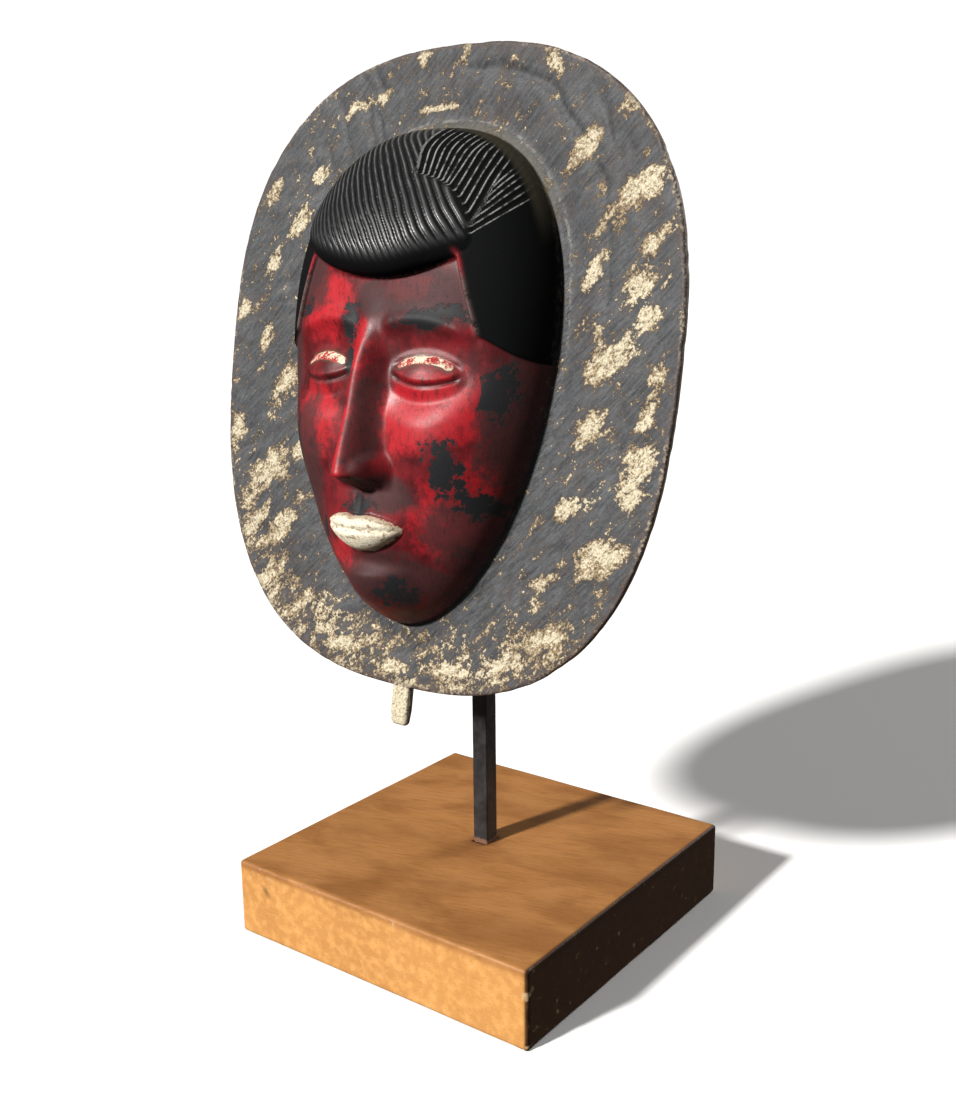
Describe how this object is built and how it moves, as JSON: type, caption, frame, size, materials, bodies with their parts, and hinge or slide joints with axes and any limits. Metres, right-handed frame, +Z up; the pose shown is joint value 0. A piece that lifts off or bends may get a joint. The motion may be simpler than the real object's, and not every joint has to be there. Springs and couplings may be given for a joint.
{
  "type": "carved wooden mask on a stand",
  "caption": "Painted wooden mask carved in high relief on an oval plate, held upright by a square iron rod on a square wooden base.",
  "frame": {"origin": "middle of the base's underside", "axes": "+Z up, the mask looks along -Y, +X to the right of someone who faces it"},
  "size_m": [0.294, 0.209, 0.484],
  "materials": {
    "painted_wood": "worn red, black and charcoal paint over pale carved wood",
    "rod_steel": "blackened steel bar, a little rust at the foot",
    "base_wood": "honey-brown stained board, satin"
  },
  "bodies": {
    "root": {"mask": "painted_wood", "rod": "rod_steel", "base": "base_wood"}
  },
  "joints": []
}
